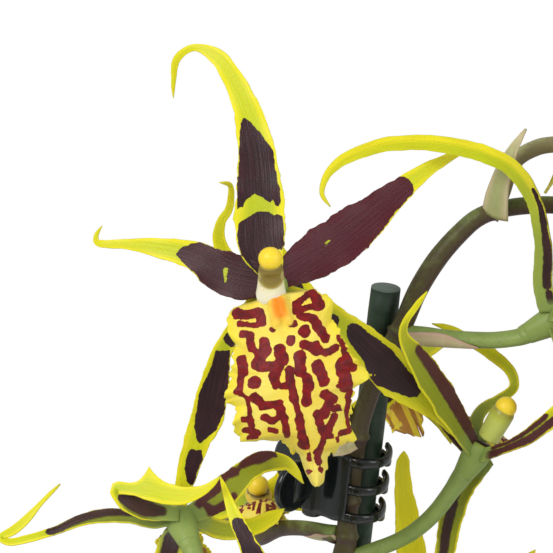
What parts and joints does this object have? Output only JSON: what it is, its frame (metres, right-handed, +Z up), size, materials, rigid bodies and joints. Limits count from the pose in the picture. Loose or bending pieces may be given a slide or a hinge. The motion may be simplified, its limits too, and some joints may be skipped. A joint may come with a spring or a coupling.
{
  "type": "potted cambria orchid",
  "caption": "Potted cambria orchid: an arching spike of spidery yellow and maroon blooms, tied to a stake by a claw clip, in a plain pot of bark.",
  "frame": {"origin": "middle of the pot's flat underside", "axes": "+Z up; -Y to the front, where the open front bloom looks; +X to the right, the way the spike arches over"},
  "size_m": [0.3174, 0.2293, 0.5792],
  "materials": {
    "pot": "matte moulded nursery pot",
    "bark": "rough fir bark chips",
    "bulb": "smooth waxy green",
    "leaf": "satin green with a pale midrib",
    "spike": "olive green flushed purple-brown",
    "stake": "dark green coat, grey cut end",
    "clip": "glossy moulded black-green",
    "steel": "bright drawn wire",
    "tepal": "waxy yellow-green with maroon-brown blotches",
    "lip": "soft yellow with dark red spots",
    "column": "waxy yellow over pale green"
  },
  "bodies": {
    "plant": {"pot": "pot", "bark_substrate": "bark", "pseudobulb_1": "bulb", "pseudobulb_2": "bulb", "pseudobulb_3": "bulb", "pseudobulb_4": "bulb", "leaf_1": "leaf", "leaf_2": "leaf", "leaf_3": "leaf", "leaf_4": "leaf", "leaf_5": "leaf", "leaf_6": "leaf", "leaf_7": "leaf", "leaf_8": "leaf", "leaf_9": "leaf", "leaf_10": "leaf", "leaf_11": "leaf", "flower_spike": "spike", "stake": "stake", "clip_jaw_back": "clip", "clip_pin": "steel", "clip_spring": "steel", "bloom_1_sepals_petals": "tepal", "bloom_1_lip": "lip", "bloom_1_column": "column", "bloom_2_sepals_petals": "tepal", "bloom_2_lip": "lip", "bloom_2_column": "column", "bloom_3_sepals_petals": "tepal", "bloom_3_lip": "lip", "bloom_3_column": "column", "bloom_4_sepals_petals": "tepal", "bloom_4_lip": "lip", "bloom_4_column": "column", "bloom_5_sepals_petals": "tepal", "bloom_5_lip": "lip", "bloom_5_column": "column", "bloom_6_sepals_petals": "tepal", "bloom_6_lip": "lip", "bloom_6_column": "column", "bloom_7_sepals_petals": "tepal", "bloom_7_lip": "lip", "bloom_7_column": "column", "bloom_8_sepals_petals": "tepal", "bloom_8_lip": "lip", "bloom_8_column": "column", "bloom_9_sepals_petals": "tepal", "bloom_9_lip": "lip", "bloom_9_column": "column", "bloom_10_sepals_petals": "tepal", "bloom_10_lip": "lip", "bloom_10_column": "column"},
    "clip_front_jaw": {"clip_jaw_front": "clip"}
  },
  "joints": [
    {"name": "clip_hinge", "type": "hinge", "parent": "plant", "child": "clip_front_jaw", "pos_m": [0.01411, -0.00697, 0.45948], "axis": [-0.0992, 0.0718, -0.9925], "range_deg": [0, 28], "stiffness_Nm_per_rad": 0.02, "springref_deg": -22.92}
  ]
}
